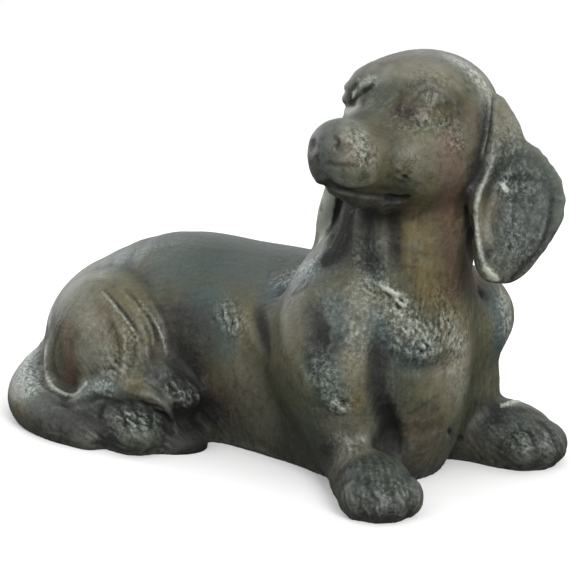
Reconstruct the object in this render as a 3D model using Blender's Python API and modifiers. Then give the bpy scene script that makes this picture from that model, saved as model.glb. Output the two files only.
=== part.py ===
# A concrete dachshund lying down with its head turned to its right, cast in one piece.
# Metres, +Z up. The body faces +X and its left side is +Y. The origin is on the ground, under the
# middle of the figure's bounding box.

import math

import bmesh
import bpy
import numpy as np
from mathutils import Euler

# Driving sizes, in metres
CAST_LENGTH = 0.440  # from the tail to the outer edge of the left ear, its greatest reach
EAR_THICKNESS = 0.012  # of the hanging ear flaps

# How finely the skin is worked, as shares of the length
COARSE_VOXEL = CAST_LENGTH / 110
FINE_VOXEL = CAST_LENGTH / 170
TRIANGLE_BUDGET = 9400

# The figure's forms are in its own units, from a point on the ground under the front of the chest
FIGURE_LENGTH = 500
UNIT = CAST_LENGTH / FIGURE_LENGTH
HEAD_SPOT = (7, -26, 286)  # the middle of the skull


def spline(points, steps):
    """Points of any number of values, read off a smooth curve through them."""
    knots = np.array([points[0], *points, points[-1]], float)
    read = []
    for k in range(1, len(knots) - 2):
        a, b, c, d = knots[k - 1 : k + 3]
        for t in np.arange(steps) / steps:
            bend = (2 * a - 5 * b + 4 * c - d) * t**2 + (3 * b - a - 3 * c + d) * t**3
            read.append(b + 0.5 * ((c - a) * t + bend))
    return np.array([*read, knots[-1]])


def turned(turn):
    """The axes after turning by degrees about X, Y and Z."""
    return np.array(Euler([math.radians(angle) for angle in turn]).to_matrix())


class Ball:
    """An ellipsoid that melts into the forms before it within a given reach, or hollows them out."""

    def __init__(self, centre, radii, turn=(0, 0, 0), melt=24, axes=None, hollow=False):
        self.centre, self.radii, self.melt = np.array(centre, float), np.array(radii, float), melt
        self.axes = turned(turn) if axes is None else axes
        self.hollow = hollow

    def distance(self, points):
        local = (points - self.centre) @ self.axes
        k0 = np.sqrt(((local / self.radii) ** 2).sum(-1))
        k1 = np.sqrt(((local / self.radii**2) ** 2).sum(-1))
        return k0 * (k0 - 1) / np.maximum(k1, 1e-9)

    def box(self):
        spread = np.abs(self.axes) @ self.radii
        return self.centre - spread, self.centre + spread

    def placed(self, spot, axes):
        centre = axes @ self.centre + spot
        return Ball(centre, self.radii, melt=self.melt, axes=axes @ self.axes, hollow=self.hollow)

    def blocks(self):
        return [] if self.hollow else [(self.centre, self.radii, self.axes)]


class Limb:
    """A round bar, or a groove, along a smooth curve. Each knot is x, y, z and the radius there."""

    def __init__(self, knots, melt=24, steps=4, hollow=False):
        self.knots, self.melt, self.steps, self.hollow = np.array(knots, float), melt, steps, hollow
        self.line = spline(self.knots, steps)

    def distance(self, points):
        best = np.full(points.shape[:-1], np.inf)
        for a, b in zip(self.line[:-1], self.line[1:]):
            run = b[:3] - a[:3]
            offset = points - a[:3]
            t = np.clip(offset @ run / (run @ run), 0, 1)
            off = np.sqrt(((offset - t[..., None] * run) ** 2).sum(-1))
            best = np.minimum(best, off - a[3] - (b[3] - a[3]) * t)
        return best

    def box(self):
        return (self.line[:, :3] - self.line[:, 3:]).min(0), (self.line[:, :3] + self.line[:, 3:]).max(0)

    def placed(self, spot, axes):
        moved = self.knots.copy()
        moved[:, :3] = self.knots[:, :3] @ axes.T + spot
        return Limb(moved, self.melt, self.steps, self.hollow)

    def blocks(self):
        return [] if self.hollow else [(knot[:3], np.full(3, knot[3]), np.eye(3)) for knot in self.line]


class Flap:
    """A slab with round edges along a smooth curve. Each knot is x, y, z and half the width there."""

    hollow = False

    def __init__(self, knots, across, thickness, melt=4, steps=3):
        self.knots, self.across, self.melt, self.steps = np.array(knots, float), across, melt, steps
        self.thickness = thickness
        self.line = spline(self.knots, steps)
        along = np.gradient(self.line[:, :3], axis=0)
        along /= np.linalg.norm(along, axis=1)[:, None]
        self.wide = across - along * (along @ across)[:, None]
        self.wide /= np.linalg.norm(self.wide, axis=1)[:, None]

    def distance(self, points):
        best = np.full(points.shape[:-1], np.inf)
        edge = self.thickness / 2
        for a, b, wide_a, wide_b in zip(self.line[:-1], self.line[1:], self.wide[:-1], self.wide[1:]):
            run = b[:3] - a[:3]
            t = np.clip((points - a[:3]) @ run / (run @ run), 0, 1)[..., None]
            off = points - a[:3] - run * t
            side = (off * (wide_a + (wide_b - wide_a) * t)).sum(-1)
            rest = np.maximum((off**2).sum(-1) - side**2, 0)
            beyond = np.maximum(np.abs(side) - (a[3] + (b[3] - a[3]) * t[..., 0]) + edge, 0)
            best = np.minimum(best, np.sqrt(beyond**2 + rest) - edge)
        return best

    def front(self, inset):
        """The front edge's line, a little inside it."""
        return self.line[:, :3] - self.wide * (self.line[:, 3:] - inset)

    def box(self):
        reach = np.abs(self.wide) * self.line[:, 3:] + self.thickness
        return (self.line[:, :3] - reach).min(0), (self.line[:, :3] + reach).max(0)

    def placed(self, spot, axes):
        moved = self.knots.copy()
        moved[:, :3] = self.knots[:, :3] @ axes.T + spot
        return Flap(moved, axes @ self.across, self.thickness, self.melt, self.steps)

    def blocks(self):
        made = []
        for knot, wide in zip(self.line, self.wide):
            flat = np.cross(wide, np.cross(wide, (0, 0, 1)))
            flat /= np.linalg.norm(flat)
            axes = np.column_stack((wide, flat, np.cross(wide, flat)))
            made.append((knot[:3], np.array((knot[3], self.thickness * 0.6, self.thickness * 0.6)), axes))
        return made


def outside(points, probe, forms):
    """How far outside the melted forms each point is at each probe around it."""
    value = np.full((len(probe), len(points)), 1e3)
    for form in forms:
        low, high = form.box()
        margin = form.melt + 10
        near = ((points > low - margin) & (points < high + margin)).all(1)
        if near.any():
            side = -1 if form.hollow else 1
            here = form.distance(points[near] + probe[:, None, :])
            before = value[:, near] * side
            meet = np.maximum(form.melt - np.abs(here - before), 0) ** 2 / form.melt / 4
            value[:, near] = (np.minimum(here, before) - meet) * side
    return value


def onto_skin(points, forms, passes):
    """The points moved straight onto the skin of the melted forms."""
    probe = np.array(((1, -1, -1), (-1, -1, 1), (-1, 1, -1), (1, 1, 1))) * 0.25
    points = np.array(points, float)
    for _ in range(passes):
        reads = outside(points, probe, forms)
        slope = reads.T @ probe / (4 * 0.25**2)
        steep = np.maximum((slope * slope).sum(1), 0.2)
        points -= np.clip(reads.mean(0) / steep, -4, 4)[:, None] * slope
    return points


def carved(forms, width, path, hollow=False):
    """A ridge or a groove of a given width along the skin of the forms, thin at both ends."""
    line = onto_skin(spline(path, 4), forms, 6)
    share = np.linspace(0, 1, len(line))
    radius = width / 2 * (0.45 + 0.55 * np.sin(math.pi * share))
    return Limb(np.column_stack((line, radius)), melt=width * 0.4, steps=1, hollow=hollow)


def placed(forms, spot, turn=(0, 0, 0)):
    return [form.placed(np.array(spot, float), turned(turn)) for form in forms]


def body():
    back = [(-60, -8, 84, 73), (-120, 6, 85, 74), (-190, 8, 84, 76), (-255, 0, 84, 77), (-307, -12, 73, 65)]
    belly = [(-60, -8, 24, 60), (-150, 6, 24, 62), (-240, 0, 24, 60), (-310, -18, 26, 50)]
    return [
        Limb(back),
        Limb(belly, melt=30),
        Ball((-32, -18, 96), (66, 70, 78), turn=(0, 0, -13), melt=30),
        Ball((-34, -14, 36), (52, 52, 52), melt=30),
    ]


def haunches():
    return [
        Ball((-281, -62, 74), (67, 45, 62), turn=(0, 0, -8), melt=8),
        Ball((-280, 44, 70), (66, 42, 60), turn=(0, 0, 6), melt=26),
        Ball((-340, -14, 56), (50, 49, 52), melt=26),
        Ball((-320, -78, 50), (24, 19, 26), melt=14),  # the right thigh's lower edge, against the tail
        Ball((-300, -84, 16), (34, 22, 22), melt=14),  # under the right thigh, behind the tail
        Ball((-262, -80, 4), (40, 30, 22), melt=8),
    ]


def tail():
    path = [(-338, 2, 40, 37), (-364, -34, 27, 34), (-362, -70, 18, 29), (-336, -100, 16, 24)]
    path += [(-296, -116, 13, 20), (-256, -120, 8, 15)]
    return [Limb(path, melt=10, steps=6)]


def paw(length, width, height, toe):
    """A paw along +X with its sole on the ground, its four toes in an arc."""
    forms = [Ball((0, 0, height * 0.3), (length, width, height * 0.7), melt=10)]
    for k in range(4):
        side = k - 1.5
        out = length * 0.76 - side * side * toe * 0.35
        centre = (out, side * width * 0.46, height * 0.36)
        forms.append(Ball(centre, (toe * 1.3, toe * 0.9, toe * 1.2), melt=3))
    return forms


def forelegs():
    right = [
        Ball((-46, -68, 108), (46, 32, 56), melt=30),
        Limb([(-38, -74, 92, 32), (-38, -66, 58, 32), (-31, -58, 28, 30)], melt=12),
        Limb([(-27, -56, 16, 27), (-9, -80, 14, 27)], melt=10),
    ]
    left = [
        Ball((-4, 46, 118), (46, 36, 40), melt=20),
        Limb([(-6, 46, 88, 32), (-4, 50, 58, 32), (-4, 52, 26, 28)], melt=16),
        Limb([(-2, 54, 18, 29), (26, 58, 18, 30), (38, 62, 16, 27)], melt=10),
    ]
    right += [Limb([(10, -84, 76, 4), (12, -78, 58, 10), (10, -70, 40, 15)], melt=8, hollow=True)]
    right += placed(paw(38, 29, 40, 12), (16, -101, 0), (0, 0, -42))
    left += placed(paw(37, 31, 44, 12), (43, 62, 0), (0, 0, -6))
    return right + left


def hind_feet():
    foot = paw(31, 22, 34, 9)
    return [
        Limb([(-222, -80, 48, 28), (-246, -93, 40, 22), (-268, -99, 34, 17)], melt=12),
        Limb([(-264, -102, 24, 18), (-236, -104, 18, 18)], melt=8),
        Ball((-212, -78, 2), (40, 28, 24), melt=12),  # the mound that the left foot lies on
        *placed(foot, (-227, -103, 3), (0, 0, -14)),
        *placed(foot, (-214, -75, 31), (0, 0, -4)),
    ]


def neck():
    path = [(-30, -24, 150, 60), (-12, -24, 188, 55), (-2, -22, 230, 52), (4, -22, 275, 46)]
    return [Limb(path, melt=34)]


def head():
    """The head faces +X from the middle of the skull, and is turned afterwards."""
    forms = [
        Ball((-2, 0, 0), (57, 52, 48), melt=20),
        Ball((20, 0, 18), (36, 38, 28), melt=14),
        Ball((14, 0, -28), (52, 45, 36), melt=20),
        Limb([(34, 0, -18, 38), (66, 0, -20, 31), (100, 0, -19, 26)], melt=18),
        Limb([(20, 0, -42, 27), (56, 0, -46, 20), (90, 0, -40, 15)], melt=10),
        Ball((105, 0, -19), (23, 25, 25), melt=10),
        Ball((113, 0, -9), (15, 19, 15), melt=9),
    ]
    for side in (-1, 1):
        forms += [
            Ball((44, side * 28, -24), (34, 18, 22), melt=22),
            Ball((32, side * 26, 25), (20, 16, 12), melt=14),
        ]
    mouth = [(125, 0, -33), (117, 10, -39), (105, 16, -41), (88, 19, -44), (66, 25, -45)]
    upper_lid = [(62, 18, 11), (60, 24, 20), (50, 34, 24), (39, 42, 20), (32, 46, 11)]
    lower_lid = [(62, 19, 10), (57, 31, 6), (45, 41, 6), (33, 46, 10)]
    details = []
    for side in (-1, 1):
        flip = np.array((1, side, 1))
        details += [
            carved(forms, 6, mouth * flip, hollow=True),
            Ball((126, side * 12, -9), (5, 4, 3), melt=2, hollow=True),
            Ball((44, side * 28, 15), (15, 11, 8), turn=(0, 0, side * 48), melt=3),
            carved(forms, 7, upper_lid * flip),
            carved(forms, 5, lower_lid * flip),
        ]
    return forms + details


def ear(side, flare, knots):
    """A hanging ear with a rim down its front edge. Each knot is forward, outward, up, half the width."""
    flare = math.radians(flare)
    across = np.array((-math.cos(flare), side * math.sin(flare), 0))
    thickness = EAR_THICKNESS / UNIT
    flap = Flap(np.array(knots) * (1, side, 1, 1), across, thickness)
    edge = flap.front(thickness * 0.4)
    rim = np.column_stack((edge, np.full(len(edge), thickness * 0.48)))
    return [flap, Limb(rim, melt=5, steps=1)]


def ears():
    near = [(-24, 46, 9, 8), (-21, 52, -6, 15), (-18, 58, -24, 20), (-21, 63, -40, 31), (-20, 68, -57, 40)]
    near += [(-11, 70, -76, 34), (-2, 70, -92, 26), (4, 69, -104, 19), (6, 69, -110, 12)]
    far = [(-24, 46, 9, 8), (-20, 50, -6, 16), (-16, 56, -24, 24), (-14, 60, -44, 33), (-10, 62, -66, 37)]
    far += [(-2, 69, -90, 34), (6, 78, -114, 20)]
    return ear(1, 33, near) + ear(-1, -15, far)


def folds(forms):
    """The loose skin in front of the right thigh, and the edge of the foot under it."""
    thigh = [
        [(-268, -90, 124), (-248, -94, 108), (-236, -98, 84), (-234, -102, 62)],
        [(-254, -84, 128), (-236, -86, 108), (-224, -88, 84), (-218, -92, 66)],
    ]
    foot = [(-212, -108, 46), (-198, -98, 40), (-186, -94, 20)]
    return [carved(forms, 8, path) for path in thigh] + [carved(forms, 6, foot)]


def figure():
    forms = body() + haunches() + tail() + forelegs() + hind_feet() + neck()
    forms += placed(head() + ears(), HEAD_SPOT, (0, 0, -90))
    return forms + folds(forms)


def blocked_in(forms):
    """A plain sphere or ellipsoid for each form, all in one mesh."""
    ball = bmesh.new()
    bmesh.ops.create_icosphere(ball, subdivisions=2, radius=1.02)
    round_points = np.array([vert.co for vert in ball.verts])
    faces = np.array([[vert.index for vert in face.verts] for face in ball.faces])
    ball.free()
    blocks = [block for form in forms for block in form.blocks()]
    points = [(round_points * radii) @ axes.T + centre for centre, radii, axes in blocks]
    sides = [faces + k * len(round_points) for k in range(len(blocks))]
    mesh = bpy.data.meshes.new("Blocked in")
    mesh.from_pydata(np.concatenate(points) * UNIT, [], np.concatenate(sides).tolist())
    return mesh


def reworked(mesh, kind, **settings):
    """The mesh with one modifier applied."""
    holder = bpy.data.objects.new("Work", mesh)
    bpy.context.scene.collection.objects.link(holder)
    modifier = holder.modifiers.new(kind.title(), kind)
    for name, value in settings.items():
        setattr(modifier, name, value)
    graph = bpy.context.evaluated_depsgraph_get()
    made = bpy.data.meshes.new_from_object(holder.evaluated_get(graph))
    bpy.data.objects.remove(holder)
    return made


def corners(mesh):
    read = np.empty(len(mesh.vertices) * 3, np.float32)
    mesh.vertices.foreach_get("co", read)
    return read.reshape(-1, 3).astype(float)


def set_corners(mesh, points):
    mesh.vertices.foreach_set("co", points.astype(np.float32).ravel())
    mesh.update()


def skin(forms):
    """The figure's outer surface, drawn onto its forms twice, the second time on a finer mesh."""
    mesh = blocked_in(forms)
    for voxel, passes in ((COARSE_VOXEL, 4), (FINE_VOXEL, 2)):
        mesh = reworked(mesh, "REMESH", mode="VOXEL", voxel_size=voxel)
        set_corners(mesh, onto_skin(corners(mesh) / UNIT, forms, passes) * UNIT)
    mesh.calc_loop_triangles()
    return reworked(mesh, "DECIMATE", ratio=TRIANGLE_BUDGET / len(mesh.loop_triangles))


def set_down(mesh):
    """Brings the cast to its exact length, with the middle of its box over the origin."""
    points = corners(mesh)
    above = points[points[:, 2] > 0]
    low, high = above.min(0), above.max(0)
    points[:, :2] -= (low[:2] + high[:2]) / 2
    set_corners(mesh, points * CAST_LENGTH / (high[0] - low[0]))


def finish():
    mat = bpy.data.materials.new("Patinated concrete")
    mat.use_nodes = True
    shader = mat.node_tree.nodes["Principled BSDF"]
    shader.inputs["Base Color"].default_value = (0.09, 0.085, 0.07, 1)
    shader.inputs["Roughness"].default_value = 0.5
    return mat


def ground():
    """A block under the ground, to cut the underside flat."""
    mesh = bpy.data.meshes.new("ground")
    bm = bmesh.new()
    bmesh.ops.create_cube(bm, size=CAST_LENGTH * 2)
    bmesh.ops.translate(bm, verts=bm.verts, vec=(0, 0, -CAST_LENGTH))
    bm.to_mesh(mesh)
    bm.free()
    cutter = bpy.data.objects.new("ground", mesh)
    cutter.hide_render = True
    cutter.display_type = "WIRE"
    return cutter


def main():
    for old in list(bpy.data.objects):
        bpy.data.objects.remove(old)
    mesh = skin(figure())
    set_down(mesh)
    mesh.materials.append(finish())
    mesh.shade_smooth()
    dog, cutter = bpy.data.objects.new("dachshund", mesh), ground()
    for name, member in (("Concrete dachshund", dog), ("Cutters", cutter)):
        collection = bpy.data.collections.new(name)
        bpy.context.scene.collection.children.link(collection)
        collection.objects.link(member)
    flat = dog.modifiers.new("Flat underside", "BOOLEAN")
    flat.operation = "DIFFERENCE"
    flat.object = cutter


main()
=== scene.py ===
import math

import bmesh
import bpy
import numpy as np
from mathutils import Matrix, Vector, kdtree
from mathutils.bvhtree import BVHTree


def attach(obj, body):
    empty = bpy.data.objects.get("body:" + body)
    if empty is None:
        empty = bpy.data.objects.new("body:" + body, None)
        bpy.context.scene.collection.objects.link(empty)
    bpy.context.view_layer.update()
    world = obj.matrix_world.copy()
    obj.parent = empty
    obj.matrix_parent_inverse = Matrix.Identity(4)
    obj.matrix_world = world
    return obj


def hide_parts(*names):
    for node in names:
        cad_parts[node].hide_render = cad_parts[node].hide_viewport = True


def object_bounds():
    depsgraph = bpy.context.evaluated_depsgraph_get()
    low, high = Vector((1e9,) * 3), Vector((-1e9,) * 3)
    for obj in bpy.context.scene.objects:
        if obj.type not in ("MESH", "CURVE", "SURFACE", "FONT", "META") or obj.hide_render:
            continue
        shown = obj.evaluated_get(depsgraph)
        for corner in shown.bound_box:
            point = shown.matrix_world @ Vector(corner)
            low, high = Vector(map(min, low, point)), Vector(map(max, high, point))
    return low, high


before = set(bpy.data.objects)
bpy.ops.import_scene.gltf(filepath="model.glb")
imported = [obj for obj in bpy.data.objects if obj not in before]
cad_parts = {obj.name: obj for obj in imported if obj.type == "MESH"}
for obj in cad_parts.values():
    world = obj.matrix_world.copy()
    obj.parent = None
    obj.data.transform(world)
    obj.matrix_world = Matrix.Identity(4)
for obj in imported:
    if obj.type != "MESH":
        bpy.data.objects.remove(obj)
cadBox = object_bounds()

# The figure is drawn in its own units, about 500 of them from the tail to the left ear.
figure = {
    "length": 500.8,
    "middle": (-148.33, -31.41, 0),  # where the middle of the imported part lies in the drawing
    "skull": (7, -26, 286),  # the middle of the skull, which faces -Y
}
unit = (cadBox[1][0] - cadBox[0][0]) / figure["length"]
middle = np.array(figure["middle"])

photograph = {
    "azimuth": 37,
    "elevation": 13,
    "distance": 1400,
    "focal": 1750,  # in pixels
    "film": 36,  # millimetres across
    "frame": 576,
    "target": (-110.22, -42.5, 140.31),
}


def sightLines():
    turn, lift = math.radians(photograph["azimuth"]), math.radians(photograph["elevation"])
    back = np.array((math.sin(turn) * math.cos(lift), -math.cos(turn) * math.cos(lift), math.sin(lift)))
    right = np.array((math.cos(turn), math.sin(turn), 0))
    return right, np.cross(back, right), back


right, up, back = sightLines()
eye = np.array(photograph["target"]) + back * photograph["distance"]


def addCamera():
    camera = bpy.data.objects.new("camera", bpy.data.cameras.new("camera"))
    camera.data.sensor_width = photograph["film"]
    camera.data.lens = photograph["film"] * photograph["focal"] / photograph["frame"]
    camera.location = (eye - middle) * unit
    camera.rotation_euler = Vector(back).to_track_quat("Z", "Y").to_euler()
    bpy.context.scene.collection.objects.link(camera)
    bpy.context.scene.camera = camera


surface = {
    "weld": 1e-5,  # metres
    "bulge": 0.7,  # how far the facets of the part are rounded out
    "cuts": 4,  # each facet's side is cut into this many
    "square": 1.2,  # side of the working mesh's squares
    "polish": 14,  # rounds of smoothing
    "pull": 0.5,  # a round pulls each point this far towards its neighbours' middle,
    "push": -0.53,  # and then pushes it back, so that the form keeps its size
    "turn": 2.5,  # how soon a stroke ends where the surface turns away
    "triangles": 197000,
}


def readPoints(mesh):
    flat = np.empty(len(mesh.vertices) * 3, np.float32)
    mesh.vertices.foreach_get("co", flat)
    return flat.reshape(-1, 3).astype(float) / unit + middle


def writePoints(mesh, points):
    mesh.vertices.foreach_set("co", ((points - middle) * unit).astype(np.float32).ravel())
    mesh.update()


def readNormals(mesh):
    flat = np.empty(len(mesh.vertices) * 3, np.float32)
    mesh.vertex_normals.foreach_get("vector", flat)
    return flat.reshape(-1, 3).astype(float)


def readTriangles(mesh):
    mesh.calc_loop_triangles()
    flat = np.empty(len(mesh.loop_triangles) * 3, np.int32)
    mesh.loop_triangles.foreach_get("vertices", flat)
    return flat.reshape(-1, 3)


def newMesh(name, points, faces):
    mesh = bpy.data.meshes.new(name)
    mesh.from_pydata(((points - middle) * unit).tolist(), [], faces.tolist())
    return mesh


def reworked(mesh, kind, **settings):  # the mesh after one modifier
    holder = bpy.data.objects.new("work", mesh)
    bpy.context.scene.collection.objects.link(holder)
    modifier = holder.modifiers.new(kind, kind)
    for name, value in settings.items():
        setattr(modifier, name, value)
    graph = bpy.context.evaluated_depsgraph_get()
    made = bpy.data.meshes.new_from_object(holder.evaluated_get(graph))
    bpy.data.objects.remove(holder)
    return made


def roundedFacets(mesh):
    points, normals, faces = readPoints(mesh), readNormals(mesh), readTriangles(mesh)
    cuts = surface["cuts"]
    grid = [(a, b) for a in range(cuts + 1) for b in range(cuts + 1 - a)]
    shares = np.array([(cuts - a - b, a, b) for a, b in grid]) / cuts
    corners, tilts = points[faces], normals[faces]
    flat = np.einsum("sk,fkc->fsc", shares, corners)
    above = np.einsum("fskc,fkc->fsk", flat[:, :, None] - corners[:, None], tilts)
    curved = flat - np.einsum("sk,fsk,fkc->fsc", shares, above, tilts)
    spots = (flat + (curved - flat) * surface["bulge"]).reshape(-1, 3)
    small = [[(a, b), (a + 1, b), (a, b + 1)] for a, b in grid if a + b < cuts]
    small += [[(a + 1, b), (a + 1, b + 1), (a, b + 1)] for a, b in grid if a + b < cuts - 1]
    small = np.array([[grid.index(corner) for corner in face] for face in small])
    every = small[None] + np.arange(len(faces))[:, None, None] * len(grid)
    return newMesh("rounded", spots, every.reshape(-1, 3))


def neighbourSums(one, two, columns, size):
    return np.array([np.bincount(one, v[two], size) + np.bincount(two, v[one], size) for v in columns])


class Cast:
    def __init__(self, mesh):
        self.mesh = mesh
        ends = np.empty(len(mesh.edges) * 2, np.int32)
        mesh.edges.foreach_get("vertices", ends)
        self.ends = ends.reshape(-1, 2).T
        self.count = np.bincount(ends, minlength=len(mesh.vertices))
        self.read()

    def read(self):
        self.points, self.normals = readPoints(self.mesh), readNormals(self.mesh)

    def around(self, values):  # the mean of each point's neighbours
        sums = neighbourSums(*self.ends, np.atleast_2d(values.T), len(self.count))
        return (sums / self.count).T.reshape(values.shape)

    def blurred(self, values, rounds, share=0.5):
        for _ in range(rounds):
            values = values + (self.around(values) - values) * share
        return values

    def polish(self, rounds):
        for _ in range(rounds):
            self.points = self.blurred(self.points, 1, surface["pull"])
            self.points = self.blurred(self.points, 1, surface["push"])
        writePoints(self.mesh, self.points)
        self.read()

    def plant(self):  # a tree for finding the surface
        triangles = readTriangles(self.mesh)
        self.tree = BVHTree.FromPolygons(self.points.tolist(), triangles.tolist())

    def seen(self, spot):  # where the photograph's pixel falls on the cast
        across, down = spot[0] - photograph["frame"] / 2, spot[1] - photograph["frame"] / 2
        sight = right * across - up * down - back * photograph["focal"]
        place, normal, _, _ = self.tree.ray_cast(Vector(eye), Vector(sight).normalized())
        return None if place is None else (*place, *normal)

    def nearest(self, spot):
        place, normal, _, _ = self.tree.find_nearest(Vector(spot))
        return (*place, *normal)

    def line(self, path):
        knots = smoothLine(path)
        found = [self.seen(spot) if len(spot) == 2 else self.nearest(spot) for spot in knots]
        return np.array([place for place in found if place is not None]).reshape(-1, 6)

    def reach(self, line, width):  # the points near a line, how near from 0 to 1, and how far along
        spots, facing = line[:, :3], line[:, 3:]
        low, high = spots.min(0) - width, spots.max(0) + width
        near = np.nonzero(((self.points > low) & (self.points < high)).all(1))[0]
        here = self.points[near]
        square = (here**2).sum(1)[:, None] + (spots**2).sum(1) - 2 * here @ spots.T
        closest = square.argmin(1)
        gap = np.maximum(square[np.arange(len(near)), closest], 0) / width**2
        turned = (self.normals[near] * facing[closest]).sum(1)
        close = np.clip(1 - gap, 0, 1) ** 2 * np.clip(turned * surface["turn"], 0, 1)
        return near, close, closest / max(len(spots) - 1, 1)


def smoothLine(knots):  # a curve through the knots, in steps of at most one
    knots = np.array(knots, float)
    if len(knots) == 1:
        return knots
    padded = np.concatenate((2 * knots[:1] - knots[1:2], knots, 2 * knots[-1:] - knots[-2:-1]))
    line = [knots[:1]]
    for a, b, c, d in zip(padded, padded[1:], padded[2:], padded[3:]):
        steps = max(2, int(np.linalg.norm(c - b)) + 1)
        t = (np.arange(steps) + 1)[:, None] / steps
        straight = b + (c - a) * t / 2
        bend = (2 * a - 5 * b + 4 * c - d) * t**2 / 2
        twist = (3 * b - a - 3 * c + d) * t**3 / 2
        line.append(straight + bend + twist)
    return np.concatenate(line)


def castSkin(node):
    mesh = node.data.copy()
    work = bmesh.new()
    work.from_mesh(mesh)
    bmesh.ops.remove_doubles(work, verts=work.verts, dist=surface["weld"])
    work.to_mesh(mesh)
    work.free()
    mesh = roundedFacets(mesh)
    mesh = reworked(mesh, "REMESH", mode="VOXEL", voxel_size=surface["square"] * unit)
    cast = Cast(mesh)
    cast.polish(surface["polish"])
    cast.plant()
    rub(cast)
    return cast


rubbing = {
    "rounds": 6,  # for each step of strength
    "pull": 0.6,
    "spread": 2,  # how full the rubbing is across its width
}

# Forms of the part that are rubbed down before the carving: strength, width and the line, in pixels of the
# photograph or, with three numbers, in the figure's own units.
rubbed = [
    (16, 12, [(101, 288), (120, 312), (136, 332), (138, 352), (140, 372)]),
    (16, 12, [(118, 286), (136, 303), (158, 326), (166, 350)]),
    (16, 15, [(52, 356), (57, 376), (70, 390), (88, 392), (104, 386)]),
    (10, 9, [(22, -132, 246), (28, -112, 242), (34, -92, 240)]),
    (10, 9, [(-8, -132, 246), (-14, -112, 242), (-20, -92, 240)]),
    (9, 8, [(19, -152, 277)]),
    (9, 8, [(-5, -152, 277)]),
    (5, 11, [(360, 79), (353, 90), (350, 99)]),
    (14, 16, [(420, 97), (430, 97), (441, 99)]),
    (14, 20, [(352, 500), (385, 508), (408, 492)]),
    (14, 20, [(520, 455), (548, 448), (560, 432)]),
    (10, 16, [(110, 430), (135, 436), (155, 428)]),
]

# Lines that are both carved and painted, or painted twice.
earRim = [(493, 160), (484, 180), (477, 202), (475, 220), (478, 240), (482, 258), (488, 271)]
lips = [(322, 183), (332, 188), (346, 191), (366, 194), (388, 197)]
nearToes = [[(366, 480), (371, 492), (377, 504)], [(385, 476), (391, 490), (396, 502)]]
farToes = [[(521, 427), (532, 436), (538, 450)], [(537, 421), (549, 430), (556, 446)]]
hindToes = [
    [(116, 404), (124, 415), (127, 430)],
    [(129, 401), (137, 413), (139, 429)],
    [(143, 402), (150, 413), (151, 427)],
]
farHindToes = [[(164, 380), (171, 388), (176, 398)], [(176, 379), (183, 388), (188, 399)]]

# The sculptor's marks: height (a groove where it is negative), width and the line.
marks = {}
marks["thigh"] = [
    (1.0, 2.6, [(103, 292), (120, 312), (130, 326), (138, 338), (140, 360)]),
    (0.7, 2.4, [(109, 290), (124, 308), (136, 324)]),
    (-0.7, 3, [(106, 291), (122, 310), (133, 325), (142, 342)]),
    (0.9, 2.6, [(121, 291), (135, 305), (146, 318), (153, 334), (154, 348)]),
    (-0.7, 3, [(128, 291), (142, 306), (153, 322), (158, 340)]),
    (1.1, 2.6, [(139, 301), (152, 318), (160, 332), (167, 353)]),
    (0.6, 2.4, [(150, 300), (157, 312), (162, 324)]),
    (-0.9, 5, [(150, 296), (160, 312), (168, 332), (172, 352)]),
    (-1.0, 12, [(150, 352), (153, 366)]),
    (-1.0, 7, [(150, 372), (160, 376)]),
    (0.8, 3, [(108, 358), (118, 368), (127, 380), (124, 396)]),
    (0.7, 3, [(138, 344), (137, 362), (131, 380)]),
    (0.7, 3, [(152, 374), (142, 380), (129, 385)]),
    (-0.4, 9, [(94, 306), (106, 318), (114, 332)]),
    (-0.6, 8, [(63, 325), (60, 345), (64, 368)]),
    (0.8, 14, [(84, 320), (90, 345)]),
    (0.9, 5, [(52, 306), (49, 325), (49, 342)]),
]
marks["tail"] = [
    (1.4, 4, [(54, 316), (47, 339), (45, 362), (49, 381), (59, 391), (74, 395), (86, 384)]),
    (-1.0, 5, [(60, 330), (54, 350), (54, 366), (59, 378), (68, 385), (78, 385)]),
    (-1.0, 6, [(45, 396), (62, 404), (82, 403), (98, 396)]),
    (0.6, 6, [(28, 372), (40, 388), (58, 397)]),
]
marks["hind feet"] = [
    (1.6, 12, [(92, 388), (104, 388)]),
    (-1.4, 4.5, [(90, 402), (101, 398), (112, 402)]),
    *[(-0.9, 4, toe) for toe in hindToes],
    (1.5, 4, [(143, 393), (152, 396), (164, 405), (172, 415), (177, 428)]),
    (-1.3, 5, [(138, 399), (150, 401), (161, 409), (168, 420), (171, 431)]),
    (-1.3, 6, [(104, 402), (100, 414), (104, 428)]),
    *[(-1.2, 4, toe) for toe in farHindToes],
    (-1.2, 4, [(188, 383), (194, 392), (197, 402)]),
]
marks["flank"] = [
    (0.7, 3, [(222, 305), (228, 318), (232, 333)]),
    (0.7, 3, [(230, 300), (236, 314), (238, 328)]),
    (0.6, 3, [(216, 312), (221, 324), (224, 334)]),
    (-1.4, 24, [(176, 330), (184, 370), (202, 400)]),
    (-1.0, 26, [(196, 300), (222, 352)]),
]
marks["shoulder"] = [
    (-1.4, 12, [(257, 313), (262, 329), (268, 349)]),
    (1.4, 9, [(247, 318), (252, 335), (258, 350)]),
    (1.8, 13, [(282, 318), (286, 338), (284, 358)]),
    (-1.6, 10, [(313, 312), (319, 330), (322, 350)]),
    (1.2, 9, [(329, 304), (333, 318), (334, 336)]),
    (1.0, 13, [(350, 330), (356, 362), (357, 400)]),
    (0.8, 3.5, [(330, 398), (337, 403), (342, 411), (347, 407)]),
    (-1.2, 9, [(300, 352), (312, 372), (318, 400)]),
    (-0.9, 7, [(275, 296), (284, 290), (294, 292)]),
]
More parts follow.
